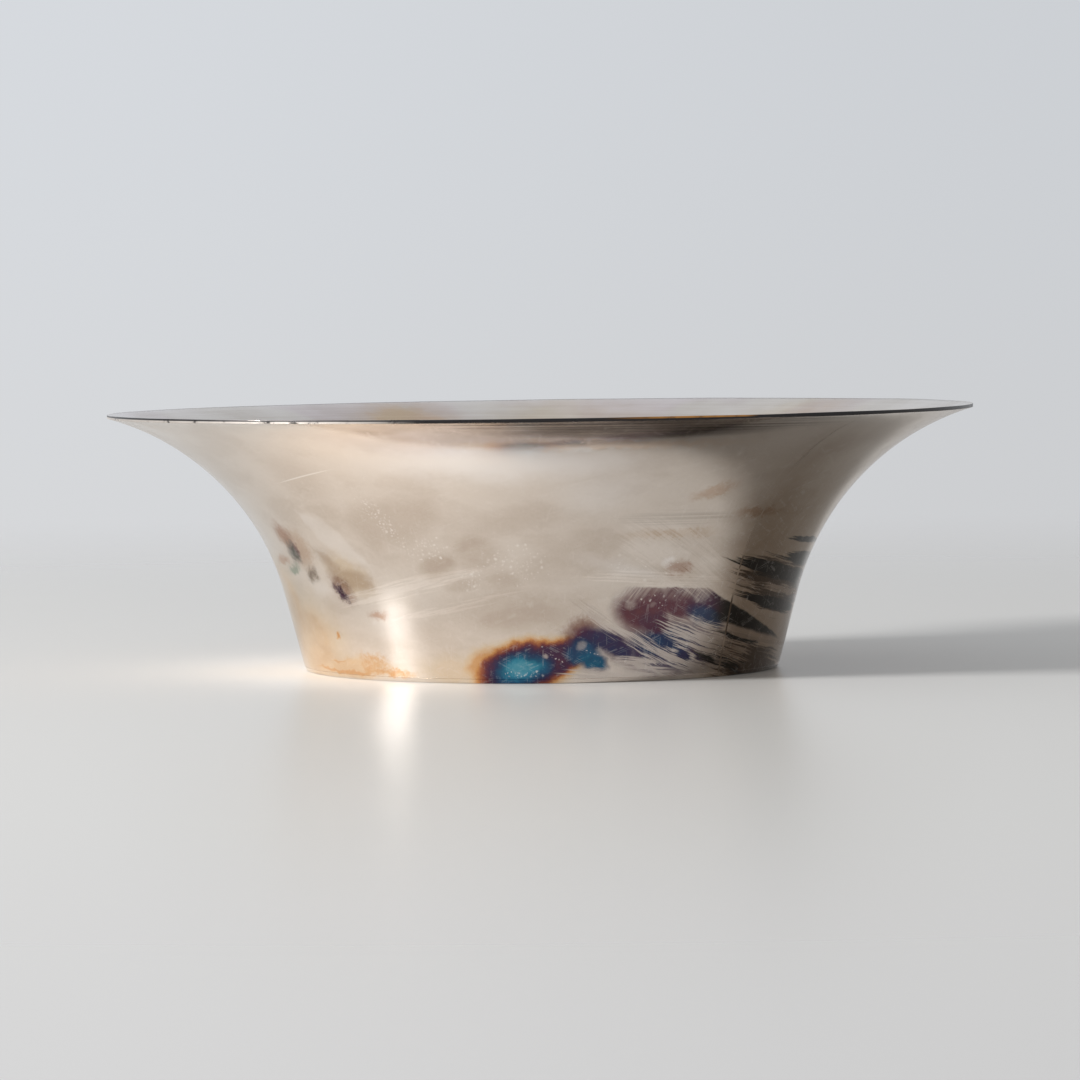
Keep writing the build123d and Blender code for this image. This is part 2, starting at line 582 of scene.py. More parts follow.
# Dull spots and pale ones, with how dull or pale they are
DULL_SPOTS = [
    ((-12.4, 15.4, 4.2, 2.4, 15), 1.2),
    ((-9.6, 12.8, 3.6, 1.6, 14), 0.8),
    ((-7.6, 17.0, 4.6, 3.6, 0), 0.8),
    ((-5.0, 13.2, 5.0, 2.6, 10), 0.6),
    ((-6.6, 8.3, 2.0, 1.0, 20), 0.6),
    ((-25.5, 26.5, 5.2, 5.5, 0), 0.55),
    ((5.8, 17.8, 2.9, 3.3, 0), 0.5),
    ((3.0, 10.4, 7.0, 2.8, 15), 0.5),
    ((22.0, 28.0, 12.0, 4.0, 5), 0.5),
    ((-4.0, 9.4, 15.0, 5.0, 0), 0.75),
    ((16.0, 14.2, 8.0, 2.4, 0), 0.75),
]
PALE_SPOTS = [
    # The first, third and fourth spots, high under the lip, are a painted reflection that lightens the band
    # there.
    ((3.0, 30.8, 12.0, 0.9, 0), 1.0),
    ((6.0, 24.5, 7.0, 4.0, 10), 0.5),
    ((-4.0, 28.6, 18.0, 3.8, 0), 1.0),
    ((4.0, 31.3, 15.0, 1.4, 0), 0.9),
    ((-31.5, 12.0, 4.2, 1.5, -6), 0.4),
    ((-20.0, 7.2, 6.0, 3.6, 0), 0.3),
    ((10.0, 14.9, 9.0, 1.4, -12), 0.4),
    ((15.5, 15.7, 1.0, 0.9, 0), 0.7),
]

# Patches with straighter sides, by their corners clockwise, the width of their soft edge and how dull or pale
DULL_FIELDS = [
    ([(-32.0, 18.2), (-28.6, 17.6), (-26.0, 15.1), (-24.5, 10.8), (-26.5, 10.3), (-29.2, 12.4)], 1.6, 0.95),
    ([(-28.0, 15.2), (-21.4, 14.4), (-20.6, 12.0), (-26.5, 10.3), (-28.5, 12.0)], 1.5, 0.95),
    ([(-26.0, 21.9), (-19.5, 25.6), (-9.5, 26.2), (-8.5, 20.6), (-14.0, 16.6), (-20.8, 14.2)], 3.5, 0.6),
]
PALE_FIELDS = [
    ([(-31.0, 22.5), (-26.2, 21.8), (-23.2, 18.2), (-20.8, 14.0), (-26.3, 15.6), (-28.4, 18.0)], 0.9, 0.35),
]

# What follows down to the missed spots is placed with the cloth's sweeps laid level.
# They fall to the right in long curves: how far, where from, and over what width they level out
SWEEP_FALL = 13.2
SWEEP_START = 8.0
SWEEP_RUN = 20.0

# Brown and black tarnish on the right, in bands with how thickly they cover,
# and the wedge that the cloth cut off. The second brown band and the fifth and sixth black bands,
# low by the foot, are partly painted shade.
BROWN_BANDS = [
    ((38.0, 8.6, 18.0, 6.0, 0), 1.0),
    ((34.0, -2.6, 19.0, 4.6, 0), 1.0),
    ((60.0, 8.0, 15.0, 5.5, 0), 0.8),
]
BLACK_BANDS = [
    ((36.5, 10.1, 17.0, 1.85, 0), 1.0),
    ((43.5, 12.4, 13.5, 1.45, 3), 1.0),
    ((43.0, 14.8, 12.0, 0.75, 3), 0.8),
    ((37.5, 6.0, 15.0, 1.4, 1), 1.0),
    ((30.0, 0.5, 8.0, 0.9, 0), 0.95),
    ((27.0, -3.2, 9.0, 1.6, 4), 0.75),
    ((62.0, 9.6, 13.0, 1.1, 0), 0.75),
    ((58.0, 5.2, 10.0, 0.9, 0), 0.7),
]
WEDGE_LOW = (1.5, 2.1)
WEDGE_LEFT = (22.5, 26.0)
WEDGE_RIGHT = (48.0, 41.0)

# Swipes that took the tarnish off again, and the spots that they missed
SWIPES = [
    (23.5, -1.3, 8.5, 1.8, 0),
    (10.5, -5.4, 6.0, 1.2, 0),
    (19.5, -5.4, 8.5, 2.6, 0),
    (34.0, 1.0, 13.0, 0.7, 0),
    (38.0, 7.8, 11.0, 0.7, 2),
]
MISSED = [
    (12.6, -1.2, 4.6, 3.4, 32),
    (10.6, -4.6, 1.8, 0.45, 0),
    (16.0, -3.6, 2.9, 0.8, 0),
    (19.6, -4.0, 1.8, 0.7, 0),
    (17.5, -6.8, 3.0, 0.7, 12),
    (23.4, -3.7, 2.4, 0.6, 0),
    (11.4, -7.3, 2.8, 0.9, 0),
]

# Low swipes along the foot, again placed as they are
LOW_SWIPES = [(9.5, 0.7, 6.5, 1.0, -4), (13.5, 2.0, 4.0, 1.0, -10)]
LOW_LEAN = -6

# Swipes that only rubbed the silver brighter, by the lean of their streaks, with how much brighter
RUBBED = {
    13: ([(-17.5, 12.3, 10.0, 1.1, 13), (-11.0, 9.9, 8.0, 0.6, 13)], 0.55),
    -4: ([(14.5, 13.3, 9.0, 0.9, -4)], 0.6),
    -33: ([(17.0, 16.0, 8.0, 3.4, -25)], 0.35),
}
RUBBED_SEED = 24

# Small drops where the stain has come off
BARE = [
    ((5.1, 4.9, 0.95, 0.75, 20), 0.5),
    ((0.4, 3.6, 0.5, 0.45, 0), 0.8),
    ((11.2, 10.0, 1.0, 0.9, 0), 0.45),
    ((14.2, 10.0, 0.6, 0.5, 0), 0.3),
    ((20.6, 10.3, 0.5, 0.5, 0), 0.4),
    ((24.8, 10.3, 0.45, 0.45, 0), 0.4),
]

# Specks and short nicks that show bright silver, with how thickly they are sown
SPECKLED = [
    ((-17.8, 21.2, 6.4, 1.6, -66), 0.9),
    ((-13.6, 17.3, 4.2, 2.2, 10), 0.8),
    ((-8.4, 13.7, 2.4, 2.0, 40), 1.0),
    ((-3.0, 15.5, 5.5, 4.0, 0), 0.5),
    ((1.6, 3.6, 2.4, 0.4, -37), 1.0),
    ((6.3, 4.05, 2.0, 0.35, -17), 1.0),
    ((-2.0, 1.3, 4.5, 0.8, 0), 0.7),
    ((14.0, 10.5, 5.0, 1.6, 0), 0.35),
    ((13.0, 15.5, 9.0, 4.0, 0), 0.25),
]
LONG_SCRATCH = (-24.7, 26.8, 5.4, 0.1, 13)

# Fine scratches in three directions: lean, features to the millimetre across and along, and seed
SCRATCHES = [(-28, 1.6, 0.05, 6), (22, 1.3, 0.05, 7), (87, 1.1, 0.06, 9)]
SCRATCH_WIDTH = 0.02

# Under the lip: painted shade right of the front, standing in for the dark reflection there, and a cooler
# tint left of it
LIP_PAINTED_SHADE = [
    ((8.0, 32.6, 14.0, 1.0, 0), 0.7),
    ((6.0, 33.8, 10.0, 1.2, 0), 0.4),
]
LIP_SHADE_TINT = (0.30, 0.27, 0.27)
LIP_COOL_PATCH = (-8.0, 31.8, 15.0, 3.0, 0)
COOL_TINT = (0.93, 0.98, 1.10)

# Places where fine dark lines run round the wall: under the lip, and below the middle of the flare
LINED = [
    ((9.0, 34.2, 21.0, 2.2, 0), 1.0),
    ((15.0, 21.2, 8.5, 1.3, 0), 0.22),
]

# Soot on the seam
SEAM_SOOT = [
    ((27.0, 15.0, 2.5, 1.1, 0), 0.7),
    ((27.0, 8.0, 2.5, 3.4, 0), 0.95),
    ((27.0, 1.6, 2.5, 2.6, 0), 0.6),
]

# Inside of the wall, measured from the middle of the back
INNER_STAINS = [
    ((-12.5, 31.0, 6.5, 5.0, 0), 0.17, 1.6),
    ((3.0, 31.0, 9.0, 5.0, 0), 0.10, 1.8),
    ((26.0, 30.0, 8.0, 6.0, 0), 0.12, 1.6),
    ((-30.0, 22.0, 10.0, 9.0, 20), 0.13, 1.5),
    ((60.0, 12.0, 16.0, 8.0, -20), 0.20, 1.4),
    ((-70.0, 6.0, 18.0, 6.0, 10), 0.24, 1.4),
    ((84.0, 20.0, 12.0, 7.0, 30), 0.15, 1.5),
    ((20.0, 5.0, 15.0, 4.0, 0), 0.22, 1.4),
]

# Tide mark of old water on the floor: how far out it lies, how far it wanders and how wide it is
TIDE_RADIUS = 24.0
TIDE_WANDER = 14.0
TIDE_WIDTH = 2.2

# What every spot is given: the place to look at, its own middle, its two directions and what lies under it
SPOT_SOCKETS = {
    "place": "Vector",
    "middle": "Vector",
    "along": "Vector",
    "across": "Vector",
    "under": "Float",
}


def inside_spot(shader, place, middle, along, across):
    """1 in the middle of a spot, 0 at its edge and less beyond."""
    offset = shader.vectors("SUBTRACT", place, middle)
    wide = shader.vectors("DOT_PRODUCT", offset, along, output="Value")
    tall = shader.vectors("DOT_PRODUCT", offset, across, output="Value")
    return 1.0 - (wide * wide + tall * tall).sqrt()


def nearest_spot():
    """How far inside the spot a place is, or what lies under it if that is more."""
    shader, (*spot, under) = new_group("nearest_spot", **SPOT_SOCKETS)
    shader.node("GroupOutput", None, {"result": inside_spot(shader, *spot).most(under)})
    return shader.tree


def cover_spot():
    """How strongly the spot covers a place, or what lies under it if that is more."""
    measures = {"edge": "Float", "strength": "Float"}
    shader, (*spot, under, edge, strength) = new_group("cover_spot", **SPOT_SOCKETS, **measures)
    rise = {"Value": inside_spot(shader, *spot), "From Max": edge}
    cover = shader.node("MapRange", {"interpolation_type": "SMOOTHSTEP"}, rise) * strength
    shader.node("GroupOutput", None, {"result": cover.most(under)})
    return shader.tree


def film_spot():
    """Thickness of the film of a stain, thin at its edge, melted into the film under it."""
    measures = {"thickness": "Float", "rise": "Float"}
    shader, (*spot, under, thickness, rise) = new_group("film_spot", **SPOT_SOCKETS, **measures)
    film = (inside_spot(shader, *spot) * rise * thickness).least(thickness)
    shader.node("GroupOutput", None, {"result": film.maths("SMOOTH_MAX", under, film, FILM_MELT)})
    return shader.tree


class WallFinish:
    """A new material, with places on the wall in millimetres: round the wall, and up."""

    def __init__(self, name, from_back=False):
        self.material, shader = new_shader(name)
        self.shader = shader
        point = shader.node("TexCoord", output="Object")
        self.place = shader.node("VectorMath", {"operation": "SCALE"}, {0: point, "Scale": 1 / MM})
        axes = shader.node("SeparateXYZ", inputs={0: self.place})
        self.right = axes
        self.up = axes.pick(2)
        depth = axes.pick(1) if from_back else -axes.pick(1)
        self.around = axes.maths("ARCTAN2", axes, depth) * ROUND_RADIUS
        self.flat = shader.node("CombineXYZ", inputs={0: self.around, 1: self.up})
        self.nicked = self.ragged = self.torn = self.flat
        fall = ((SWEEP_START - self.around.most(0.0)) / SWEEP_RUN).exp() * SWEEP_FALL
        self.swept = shader.node("CombineXYZ", inputs={0: self.around, 1: self.up - fall})

    def noise(self, scale, seed, detail=2.0, roughness=0.55, vector=None, output=0):
        """Noise of the given scale, in features to the millimetre."""
        away = tuple(seed * shift for shift in NOISE_SHIFT)
        moved = self.shader.node("Mapping", None, {"Vector": vector or self.place, "Location": away})
        inputs = {"Vector": moved, "Scale": scale, "Detail": detail, "Roughness": roughness}
        return self.shader.node("TexNoise", None, inputs, output)

    def frayed(self, places, *layers):
        """Places pushed about, for uneven edges; a layer is the scale of its noise and its reach."""
        for seed, (scale, reach) in enumerate(layers):
            noise = self.noise(scale, seed, 3.0, 0.6, output="Color")
            both_ways = self.shader.vectors("SUBTRACT", noise, (0.5, 0.5, 0.5))
            places = self.shader.vectors("MULTIPLY_ADD", both_ways, (2 * reach, 2 * reach, 0), places)
        return places

    def spot(self, group, spot, places, under, **measures):
        """One spot, by one of the groups of nodes above."""
        where, height, wide, tall, lean = spot
        level, steep = cos(radians(lean)), sin(radians(lean))
        sockets = {
            "place": places,
            "middle": (where, height, 0),
            "along": (level / wide, steep / wide, 0),
            "across": (-steep / tall, level / tall, 0),
            "under": under,
        }
        return self.shader.node("Group", {"node_tree": group}, {**sockets, **measures})

    def cover(self, spot, edge, places, strength=1.0, under=0.0):
        """How strongly a spot covers a place; edge is the share of it that its soft edge takes."""
        return self.spot(COVER_SPOT, spot, places, under, edge=edge, strength=strength)

    def below(self, start, end, places):
        """Millimetres that a place lies to the right of the way from start to end."""
        run, rise = end[0] - start[0], end[1] - start[1]
        length = sqrt(run * run + rise * rise)
        across = (rise / length, -run / length, 0)
        off = self.shader.vectors("DOT_PRODUCT", places, across, output="Value")
        return off - (across[0] * start[0] + across[1] * start[1])

    def fields(self, fields, places):
        """How strongly a list of patches with straight sides covers a place."""
        cover = 0.0
        for corners, edge, strength in fields:
            sides = [self.below(*side, places) for side in zip(corners, corners[1:] + corners[:1])]
            inside = sides[0]
            for side in sides[1:]:
                inside = inside.least(side)
            cover = (inside.step(0.0, edge) * strength).most(cover)
        return cover

    def film(self, stains, places):
        """Thickness of the film that a list of stains leaves, thin at their edges."""
        film = 0.0
        for spot, thickness, rise in stains:
            film = self.spot(FILM_SPOT, spot, places, film, thickness=thickness, rise=rise)
        return film

    def patches(self, patches, places, edge):
        """Cover and film of stains laid one over another, each as thick at its edge as in its middle."""
        cover, film = 0.0, patches[0][1]
        for spot, thickness in patches:
            one = self.cover(spot, edge, places)
            film = film + one * (thickness - film)
            cover = one.most(cover)
        return cover, film

    def weight(self, spots, edge, places):
        """How strongly a list of weighted spots covers a place."""
        cover = 0.0
        for spot, strength in spots:
            cover = self.cover(spot, edge, places, strength, cover)
        return cover

    def nearest(self, spots, places):
        """How far inside the nearest of some spots a place is."""
        inside = FAR_OUTSIDE
        for spot in spots:
            inside = self.spot(NEAREST_SPOT, spot, places, inside)
        return inside

    def leaning(self, lean, fine, long, places):
        """Places drawn out along an angle: features to the millimetre, fine across it and long along it."""
        drawn = {"Vector": places, "Rotation": (0, 0, radians(lean)), "Scale": (1 / long, 1 / fine, 1)}
        return self.shader.node("Mapping", {"vector_type": "TEXTURE"}, drawn)

    def streaks(self, lean, fine, long, seed, places):
        return self.noise(1.0, seed, 3.0, 0.65, self.leaning(lean, fine, long, places))

    def scratches(self, lean, fine, long, seed):
        """Thin lines that lean by an angle, where the noise passes its middle."""
        line = abs(self.noise(1.0, seed, 1.0, 0.5, self.leaning(lean, fine, long, self.flat)) - 0.5)
        return line.step(SCRATCH_WIDTH, 0.3 * SCRATCH_WIDTH)

    def banded(self, bands, streaks):
        """Where weighted bands cover the wall, in streaks."""
        cover = self.weight(bands, 0.8, self.swept)
        return (cover * 1.3 - 0.5 + (streaks - 0.5) * 2.6).step(-0.1, 0.3) * cover.step(0.0, 0.3)

    def wiped(self, swipes, missed, places, lean, seed):
        """How clean the swipes left the silver, 0 to 1, in streaks that lean by an angle."""
        inside = self.nearest(swipes, places)
        broad = self.streaks(lean, 1.3, 0.12, seed, places) - 0.5
        narrow = self.streaks(lean, 4.5, 0.18, seed + 1, places) - 0.5
        clean = inside * 0.7 + broad * 3.0 + narrow * 4.6
        if missed:
            clean = clean - self.nearest(missed, places).most(0.0) * 1.8
        return clean.step(-0.25, 0.45) * inside.step(-0.35, 0.05)

    def specks(self, spots, scale, size):
        """Dots of a size in millimetres, sown at random over weighted spots."""
        sockets = {"Vector": self.nicked, "Scale": scale, "Randomness": 1.0}
        cells = self.shader.node("TexVoronoi", {"voronoi_dimensions": "2D"}, sockets)
        chance = self.shader.node("SeparateColor", None, {0: cells.pick("Color")})
        dots = cells.step(size * scale, 0.4 * size * scale)
        sown = (self.weight(spots, 0.8, self.flat) - chance).step(0.0, 0.1)
        return dots * sown * (0.3 + chance.pick(1) * 0.7)

    def metal(self, colour, roughness, height, strength):
        """The finished material: metal whose fine marks are raised by a height."""
        relief = {"Strength": strength, "Distance": MARK_HEIGHT * MM, "Height": height}
        marks = self.shader.node("Bump", None, relief)
        looks = {"Base Color": colour, "Metallic": 1.0, "Roughness": roughness, "Normal": marks}
        surface = self.shader.node("BsdfPrincipled", None, {**looks, "Anisotropic": ANISOTROPY})
        self.shader.node("OutputMaterial", None, {"Surface": surface})
        return self.material


def blend(shader, factor, first, second, mode="MIX"):
    sockets = {0: factor}
    for socket, colour in ((6, first), (7, second)):
        sockets[socket] = colour if isinstance(colour, Wire) else (*colour, 1)
    return shader.node("Mix", {"data_type": "RGBA", "blend_type": mode}, sockets, output=2)


def tinted(shader, factor, tone, tint):
    """A tone, multiplied by a tint where the factor says."""
    return blend(shader, factor, tone, tint, "MULTIPLY")


def filmed(shader, tone, film):
    """A tone under a film of tarnish."""
    return tinted(shader, 1.0, tone, shader.node("ValToRGB", {"stops": FILM_TINTS}, {"Fac": film}))


def haze_and_painted_shade_on_right(wall, clouds):
    """Brown haze and painted shade over the right of the bowl, where the wall reflects the shadowed table; it
    dies away round the back.
    """
    sideways = wall.around.step(20.0, 29.0) * wall.around.step(95.0, 70.0)
    spread = sideways * (1.0 - wall.up.step(20.0, 32.0) * 0.4)
    return spread * (0.55 + clouds * 0.9).clamp()


def silver_tone(wall):
    """Silver that has dulled in clouds and smears, with pale places (a painted reflection under the lip) and
    brown haze with painted shade on the right; and how dull it is.
    """
    shader = wall.shader
    clouds = wall.noise(0.07, 3, 3.0)
    leaning = {"Vector": wall.place, "Rotation": (0, 0.6, 0.5), "Scale": (1, 1, 2.4)}
    smears = wall.noise(0.10, 4, 4.0, 0.5, shader.node("Mapping", None, leaning))
    swirls = smears.step(0.46, 0.56)
    haze = (clouds * 0.5 + smears * 0.5).step(0.40, 0.62)
    spots = wall.weight(DULL_SPOTS, 0.8, wall.ragged) * (0.5 + swirls * 0.25 + smears * 0.5)
    grain = wall.noise(2.2, 2, 3.0, 0.6)
    fields = wall.fields(DULL_FIELDS, wall.ragged) * (0.75 + smears * 0.5)
    dull = ((haze * 0.35 + swirls * 0.12).most(spots).most(fields) + (grain - 0.5) * 0.3).clamp()
    # Pale places, and under the lip a painted reflection
    pale = wall.weight(PALE_SPOTS, 0.9, wall.ragged) * (0.7 + clouds * 0.6).clamp()
    pale = pale.most(wall.fields(PALE_FIELDS, wall.ragged))
    tone = blend(shader, pale, blend(shader, dull, BRIGHT_SILVER, DULL_SILVER), PALE_SILVER)
    # Brown haze and painted shade on the right
    return tinted(shader, haze_and_painted_shade_on_right(wall, clouds), tone, HAZE_AND_SHADE), dull


def cut_off(wall):
    """1 below the edges along which a cloth cut the stains off, 0 above."""
    level, swept = wall.below(*LEVEL_CUT, wall.nicked), wall.below(*SWEPT_CUT, wall.swept)
    return level.least(swept).step(0.0, CUT_SOFT)


def black_wedge(wall):
    """The black that runs out to the right between two sweeps of the cloth."""
    level = wall.shader.node("SeparateXYZ", None, {0: wall.swept}, output=1)
    return level.step(*WEDGE_LOW) * wall.around.step(*WEDGE_LEFT) * wall.around.step(*WEDGE_RIGHT)


def marked(wall, tone, spatter):
    """The silver with its faint marks and, under the lip, a cooler tint and painted shade."""
    shader = wall.shader
    colour = tone
    for spot, tint in MARKS:
        mark = wall.cover(spot, 0.8, wall.torn) * (spatter * 1.2 + 0.4).clamp()
        colour = tinted(shader, mark, colour, tint)
    colour = tinted(shader, wall.cover(LIP_COOL_PATCH, 0.9, wall.flat), colour, COOL_TINT)
    # Painted shade under the lip, right of the front
    return tinted(shader, wall.weight(LIP_PAINTED_SHADE, 0.5, wall.flat), colour, LIP_SHADE_TINT)


def stained(wall, tone, colour, fine, spatter, cut):
    """Films of tarnish: stains that melt into each other, then blots and patches laid one over another."""
    shader = wall.shader
    mottle = 0.80 + fine * 0.2 + wall.noise(0.4, 9, 2.0) * 0.2
    colour = filmed(shader, colour, wall.film(STAINS, wall.ragged) * mottle)
    cover, film = wall.patches(AMBER_BLOTS, wall.torn, 0.7)
    spattered = cover * (spatter * 2.6 - 0.5).clamp()
    colour = blend(shader, spattered, colour, filmed(shader, tone, film * mottle))
    cover, film = wall.patches(PATCHES, wall.ragged, 0.6)
    colour = blend(shader, cover, colour, filmed(shader, tone, film * mottle))
    cover, film = wall.patches(CUT_PATCHES, wall.nicked, 0.5)
    hatch = wall.streaks(56, 3.2, 0.14, 8, wall.flat).step(0.42, 0.62)
    thin = wall.weight(THINNED, 0.9, wall.ragged) * (0.4 + hatch * 0.6)
    stain = filmed(shader, tone, film * (0.92 + fine * 0.16))
    return blend(shader, cover * cut * (0.97 - thin), colour, stain)


def sooted_and_shaded(wall, tone, colour, cut):
    """Brown and black tarnish, in streaks along the sweeps of the cloth, and low on the right by the foot
    partly painted shade.
    """
    shader = wall.shader
    streaks = wall.streaks(0, 2.2, 0.07, 30, wall.swept)
    brown = wall.banded(BROWN_BANDS, streaks)
    colour = blend(shader, brown, colour, tinted(shader, 1.0, tone, BROWN_SOOT))
    black = wall.banded(BLACK_BANDS, streaks).most(black_wedge(wall) * cut)
    return blend(shader, black, colour, tinted(shader, 1.0, tone, SOOT))


def rubbed(wall, tone, colour, clean):
    """What a cloth did: swipes wiped clean, drops come off, swipes rubbed bright, and fine dark lines."""
    shader = wall.shader
    bare = wall.weight(BARE, 0.7, wall.nicked)
    colour = blend(shader, (clean * 0.9).most(bare * 0.8), colour, tinted(shader, 1.0, tone, WIPED))
    for turn, (lean, (swipes, strength)) in enumerate(RUBBED.items()):
        bright = wall.wiped(swipes, [], wall.flat, lean, RUBBED_SEED + 2 * turn)
        colour = blend(shader, bright * strength, colour, tinted(shader, 1.0, tone, RUBBED_UP))
    lines = wall.streaks(0, 5.0, 0.03, 40, wall.flat).step(0.42, 0.62)
    return tinted(shader, lines * wall.weight(LINED, 0.5, wall.flat), colour, BROWN_SOOT)


def tarnished_silver(name):
    """The outside of the wall and the edge of the foot."""
    wall = WallFinish(name)
    shader = wall.shader
    wall.nicked = wall.frayed(wall.flat, (1.1, 0.32), (4.5, 0.12))
    wall.ragged = wall.frayed(wall.nicked, (0.22, 1.1))
    wall.torn = wall.frayed(wall.flat, (0.8, 1.0), (3.0, 0.45))
    wall.swept = wall.frayed(wall.swept, (0.12, 0.5), (2.0, 0.05))
    fine = wall.noise(0.9, 5, 4.0, 0.65)
    spatter = wall.noise(1.9, 14, 4.0, 0.7)
    tone, dull = silver_tone(wall)
    cut = cut_off(wall)
    colour = stained(wall, tone, marked(wall, tone, spatter), fine, spatter, cut)
    colour = sooted_and_shaded(wall, tone, colour, cut)
    clean = wall.wiped(SWIPES, MISSED, wall.swept, 0, 20)
    clean = clean.most(wall.wiped(LOW_SWIPES, [], wall.flat, LOW_LEAN, 22))
    colour = rubbed(wall, tone, colour, clean)
    to_right, to_left, upright = [wall.scratches(*one_way) for one_way in SCRATCHES]
    scratched = to_right.most(to_left).most(upright) * fine.step(0.45, 0.6)
    long_scratch = wall.cover(LONG_SCRATCH, 0.5, wall.flat)
    specks = wall.specks(SPECKLED, 1.1, 0.22).most(wall.specks(SPECKLED, 2.4, 0.11)).most(long_scratch)
    colour = blend(shader, (scratched * 0.14).most(specks * 0.8), colour, SPECK_SILVER)
    roughness = 0.13 + dull * 0.05 + clean * 0.06 + scratched * 0.08
    return wall.metal(colour, roughness, fine, 0.05)


def seam_solder(name):
    """The upright seam: without the stains beside it, and sooty where the dark bands cross it."""
    wall = WallFinish(name)
    shader = wall.shader
    tone, dull = silver_tone(wall)
    grain = wall.noise(1.4, 10, 3.0)
    tarnish = wall.weight(SEAM_SOOT, 0.4, wall.flat) * (0.7 + grain * 0.6).clamp()
    colour = tinted(shader, tarnish, tone, BROWN_SOOT)
    return wall.metal(colour, 0.17 + dull * 0.05, grain, 0.08)


def inner_silver(name):
    """The inside of the wall, polished round and round and mostly left to dull."""
    wall = WallFinish(name, from_back=True)
    shader = wall.shader
    clouds = wall.noise(0.06, 11, 3.0)
    drawn = shader.node("Mapping", None, {"Vector": wall.place, "Scale": (0.03, 0.03, 2.5)})
    rings = wall.noise(1.0, 12, 3.0, 0.65, drawn)
    dull = (clouds * 0.7 + rings * 0.3).step(0.38, 0.66)
    lilac = wall.noise(0.05, 13, 2.0).step(0.45, 0.6)
    tone = tinted(shader, lilac, blend(shader, dull, INNER_BRIGHT, INNER_DULL), INNER_LILAC)
    film = wall.film(INNER_STAINS, wall.frayed(wall.flat, (0.12, 2.5), (0.6, 0.8)))
    colour = filmed(shader, tone, film * (0.7 + clouds * 0.6))
    return wall.metal(colour, 0.13 + dull * 0.06 + rings * 0.06, rings, 0.06)


def base_silver(name):
    """The base disc: ringed by old water inside, and scuffed underneath."""
    wall = WallFinish(name)
    shader = wall.shader
    clouds = wall.noise(0.08, 15, 3.0)
    grain = wall.noise(0.8, 16, 4.0, 0.65)
    out = shader.vectors("LENGTH", shader.vectors("MULTIPLY", wall.place, (1, 1, 0)), output="Value")
    tide = abs((out + clouds * TIDE_WANDER) - TIDE_RADIUS).step(TIDE_WIDTH, 0.0)
    dull = (clouds * 0.75 + grain * 0.25).step(0.36, 0.64)
    film = tide * 0.16 + clouds.step(0.5, 0.75) * 0.12
    colour = filmed(shader, blend(shader, dull, BASE_BRIGHT, BASE_DULL), film)
    drawn = shader.node("Mapping", None, {"Vector": wall.place, "Scale": (0.2, 3.0, 1.0)})
    scuffs = wall.noise(1.0, 17, 3.0, 0.6, drawn)
    return wall.metal(colour, 0.16 + dull * 0.08 + scuffs.step(0.5, 0.7) * 0.08, scuffs, 0.08)


def edge_silver(name):
    """The cut edge of the rim: black, with a painted glint along its lower half on the left, and amber right
    of the front.
    """
    wall = WallFinish(name)
    shader = wall.shader
    patches = wall.noise(0.5, 18, 3.0)
    across = wall.up - wall.right * tan(RIM_TILT)
    high = across.step(EDGE_MIDDLE - EDGE_LINE, EDGE_MIDDLE + EDGE_LINE)
    amber = wall.around.step(4.0, 10.0) * wall.around.step(16.4, 14.8) * high * (patches * 1.8).clamp()
    # Painted glint: bright silver on the lower half of the edge, left of the front
    painted_glint = wall.around.step(-8.0, -14.0) * wall.around.step(-90.0, -70.0) * patches.step(0.28, 0.45)
    colour = blend(shader, amber, EDGE_BLACK, EDGE_AMBER)
    colour = blend(shader, painted_glint * (1.0 - high) * 0.9, colour, BRIGHT_SILVER)
    return wall.metal(colour, 0.22 + patches * 0.14, patches, 0.05)


def hard_solder(name):
    """The bead inside the foot: greyer and duller than the silver, and yellowed in places."""
    wall = WallFinish(name)
    shader = wall.shader
    patches = wall.noise(0.35, 19, 4.0, 0.6)
    colour = blend(shader, patches.step(0.4, 0.6), GREY_SOLDER, YELLOW_SOLDER)
    return wall.metal(colour, 0.22 + patches * 0.15, patches, 0.15)


# Stage, light and camera

# Table: its reach in metres, and where it starts to fade into the backdrop
TABLE_COLOUR = (0.70, 0.688, 0.668)
TABLE_GLOSS = {"Roughness": 0.25, "IOR": 1.115}
TABLE_REACH = 0.55
TABLE_FADE = 0.08

# Backdrop, from low to high between two slopes and dimmer on the right, and the fill light that it gives
BACKDROP_LOW = (0.675, 0.675, 0.68)
BACKDROP_HIGH = (0.675, 0.70, 0.735)
BACKDROP_SLOPES = (-0.12, 0.06)
DIM_SIDE = (-0.12, 0.12)
DIMMING = 0.1
FILL = (0.43, 0.43, 0.425)

# Window: degrees round from the front and up, distance and size in metres, and watts
WINDOW_ROUND = radians(-71)
WINDOW_UP = radians(17)
WINDOW_DISTANCE = 1.2
WINDOW_SIZE = (0.29, 0.07)
WINDOW_WATTS = 23.7


def make_table():
    bpy.ops.object.select_all(action="DESELECT")
    bpy.ops.mesh.primitive_circle_add(vertices=96, radius=TABLE_REACH, fill_type="NGON")
    table = bpy.context.object
    table.name = "table"
    material, shader = new_shader("pale_table")
    point = shader.node("TexCoord", output="Object")
    out = shader.vectors("LENGTH", point, output="Value")
    top = shader.node("BsdfPrincipled", None, {"Base Color": (*TABLE_COLOUR, 1), **TABLE_GLOSS})
    clear = shader.node("BsdfTransparent")
    faded = shader.node("MixShader", None, {0: out.step(TABLE_FADE, 0.9 * TABLE_REACH), 1: top, 2: clear})
    shader.node("OutputMaterial", None, {"Surface": faded})
    table.data.materials.append(material)


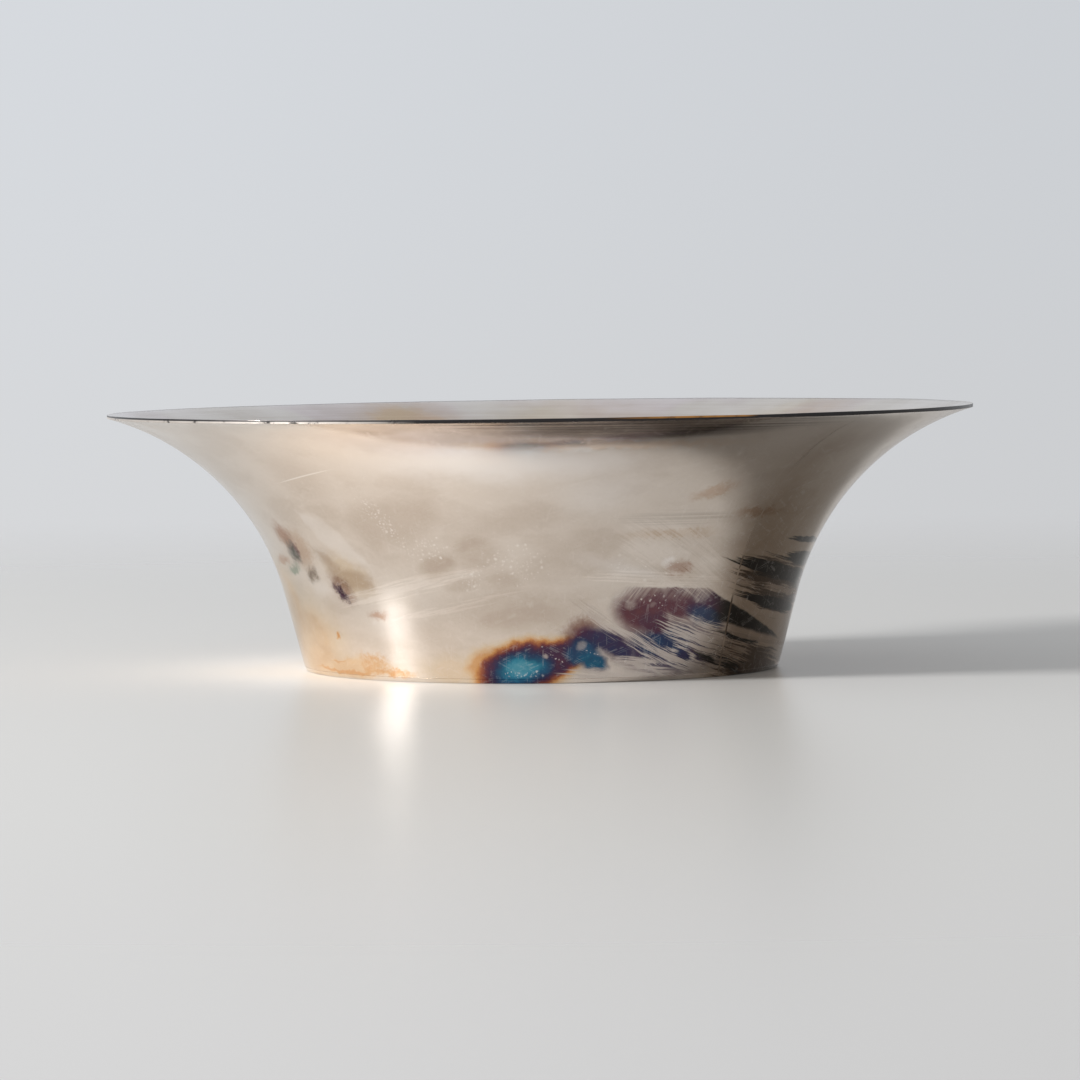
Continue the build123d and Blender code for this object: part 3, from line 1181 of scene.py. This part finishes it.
def make_world():
    """A pale backdrop, a little brighter on the left, whose fill light is dimmer than it looks."""
    world = bpy.data.worlds.new("studio")
    bpy.context.scene.world = world
    world.use_nodes = True
    shader = Shader(world.node_tree)
    towards = shader.node("SeparateXYZ", inputs={0: shader.node("TexCoord", output="Generated")})
    ray = shader.node("LightPath")
    seen = ray.pick("Is Camera Ray").most(ray.pick("Is Glossy Ray")).most(ray.pick("Is Transmission Ray"))
    backdrop = blend(shader, towards.pick(2).step(*BACKDROP_SLOPES), BACKDROP_LOW, BACKDROP_HIGH)
    light = blend(shader, seen, FILL, backdrop)
    strength = 1.0 - DIMMING * towards.step(*DIM_SIDE)
    lit = shader.node("Background", None, {"Color": light, "Strength": strength})
    shader.node("OutputWorld", None, {"Surface": lit})


def make_window():
    """The soft light on the left, which faces the bowl."""
    data = bpy.data.lights.new("window", "AREA")
    data.shape = "RECTANGLE"
    data.size, data.size_y = WINDOW_SIZE
    data.energy = WINDOW_WATTS
    window = bpy.data.objects.new("window", data)
    bpy.context.scene.collection.objects.link(window)
    level = cos(WINDOW_UP)
    towards = Vector((sin(WINDOW_ROUND) * level, -cos(WINDOW_ROUND) * level, sin(WINDOW_UP)))
    place = towards * WINDOW_DISTANCE
    window.matrix_world = Matrix.Translation(place) @ place.to_track_quat("Z", "Y").to_matrix().to_4x4()


def make_camera():
    data = bpy.data.cameras.new("camera")
    data.lens = CAMERA_LENS
    camera = bpy.data.objects.new("camera", data)
    bpy.context.scene.collection.objects.link(camera)
    turned = Matrix.Rotation(radians(90) - CAMERA_PITCH, 4, "X") @ Matrix.Rotation(-CAMERA_ROLL, 4, "Z")
    camera.matrix_world = Matrix.Translation(CAMERA_PLACE) @ turned
    bpy.context.scene.camera = camera


def dress(piece, node, slot, *materials):
    """Gives a piece its materials, hangs it under the root body and hides the solid that it stands for."""
    for material in materials:
        piece.data.materials.append(material)
    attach(piece, "root")
    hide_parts(node)


NEAREST_SPOT = nearest_spot()
COVER_SPOT = cover_spot()
FILM_SPOT = film_spot()

wall, seam = make_wall()
disc, bead = make_base()
tilt_rim((wall, seam))
wave_sheet((wall, seam))

outside = tarnished_silver("tarnished_silver")
inside = inner_silver("inner_silver")
edge = edge_silver("dark_edge")
dress(wall, "flared_wall", "silver_sheet", outside, inside, edge)
dress(seam, "wall_seam_solder", "silver_solder", seam_solder("seam_solder"), inside, edge)
dress(disc, "base_disc", "silver_sheet", base_silver("base_silver"), outside)
dress(bead, "base_seam_solder", "silver_solder", hard_solder("hard_solder"))

# Finish of each face: on the wall and its seam 0 outside, 1 inside and 2 on the cut edge,
# and on the disc 1 at its edge
for piece in (wall, seam):
    for face in piece.data.polygons:
        outward = face.normal.xy.dot(face.center.xy)
        on_edge = face.center.xy.length > RIM_RADIUS - EDGE_DEPTH
        face.material_index = 2 if on_edge else 0 if outward > 0 else 1
for face in disc.data.polygons:
    face.material_index = int(face.center.xy.length > FOOT_RADIUS - FOOT_ROUND)

make_table()
make_world()
make_window()
make_camera()
bpy.context.scene.view_settings.view_transform = "Standard"
